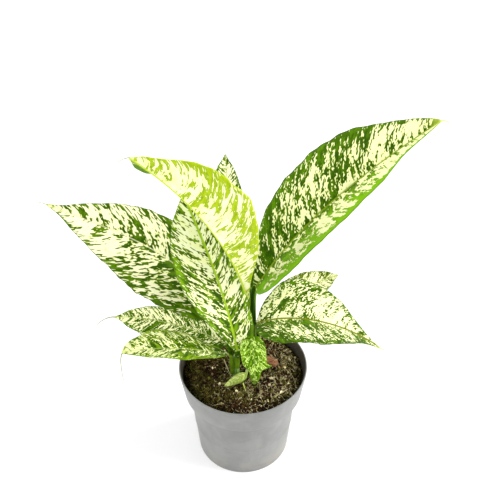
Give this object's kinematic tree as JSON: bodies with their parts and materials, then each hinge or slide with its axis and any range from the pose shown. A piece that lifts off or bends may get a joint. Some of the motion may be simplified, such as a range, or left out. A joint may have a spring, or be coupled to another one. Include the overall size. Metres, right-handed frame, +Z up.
{
  "type": "potted dieffenbachia",
  "caption": "Young dieffenbachia with broad cream and green marbled leaves on two short shoots, standing in a tapered grey plastic nursery pot filled with dark potting soil.",
  "frame": {"origin": "middle of the pot's underside, on the surface it stands on", "axes": "+Z up; -Y is the side that faces the picture's camera; +X to the right of it"},
  "size_m": [0.3202, 0.1705, 0.3769],
  "materials": {
    "pot_plastic": "satin moulded plastic",
    "potting_soil": "loose dark peat with moss",
    "green_cane": "smooth green stem",
    "leaf_green": "waxy leaf, cream marbling on green",
    "leaf_lime": "waxy young leaf, cream marbling on lime",
    "scale_leaf": "pale plain scale leaf",
    "bark": "rough bark",
    "straw": "dry straw"
  },
  "bodies": {
    "root": {"pot": "pot_plastic", "soil": "potting_soil", "cane_main": "green_cane", "cane_side_shoot": "green_cane", "leaf_large_right": "leaf_green", "leaf_new_folded": "leaf_lime", "leaf_back_upright": "leaf_green", "leaf_centre_front": "leaf_green", "leaf_large_left": "leaf_green", "leaf_left_lower_back": "leaf_green", "leaf_left_lower_front": "leaf_green", "leaf_right_lower": "leaf_green", "leaf_right_small_back": "leaf_green", "leaf_front_small": "leaf_green", "cataphyll": "scale_leaf", "bark_chip": "bark", "dry_straw": "straw"}
  },
  "joints": []
}
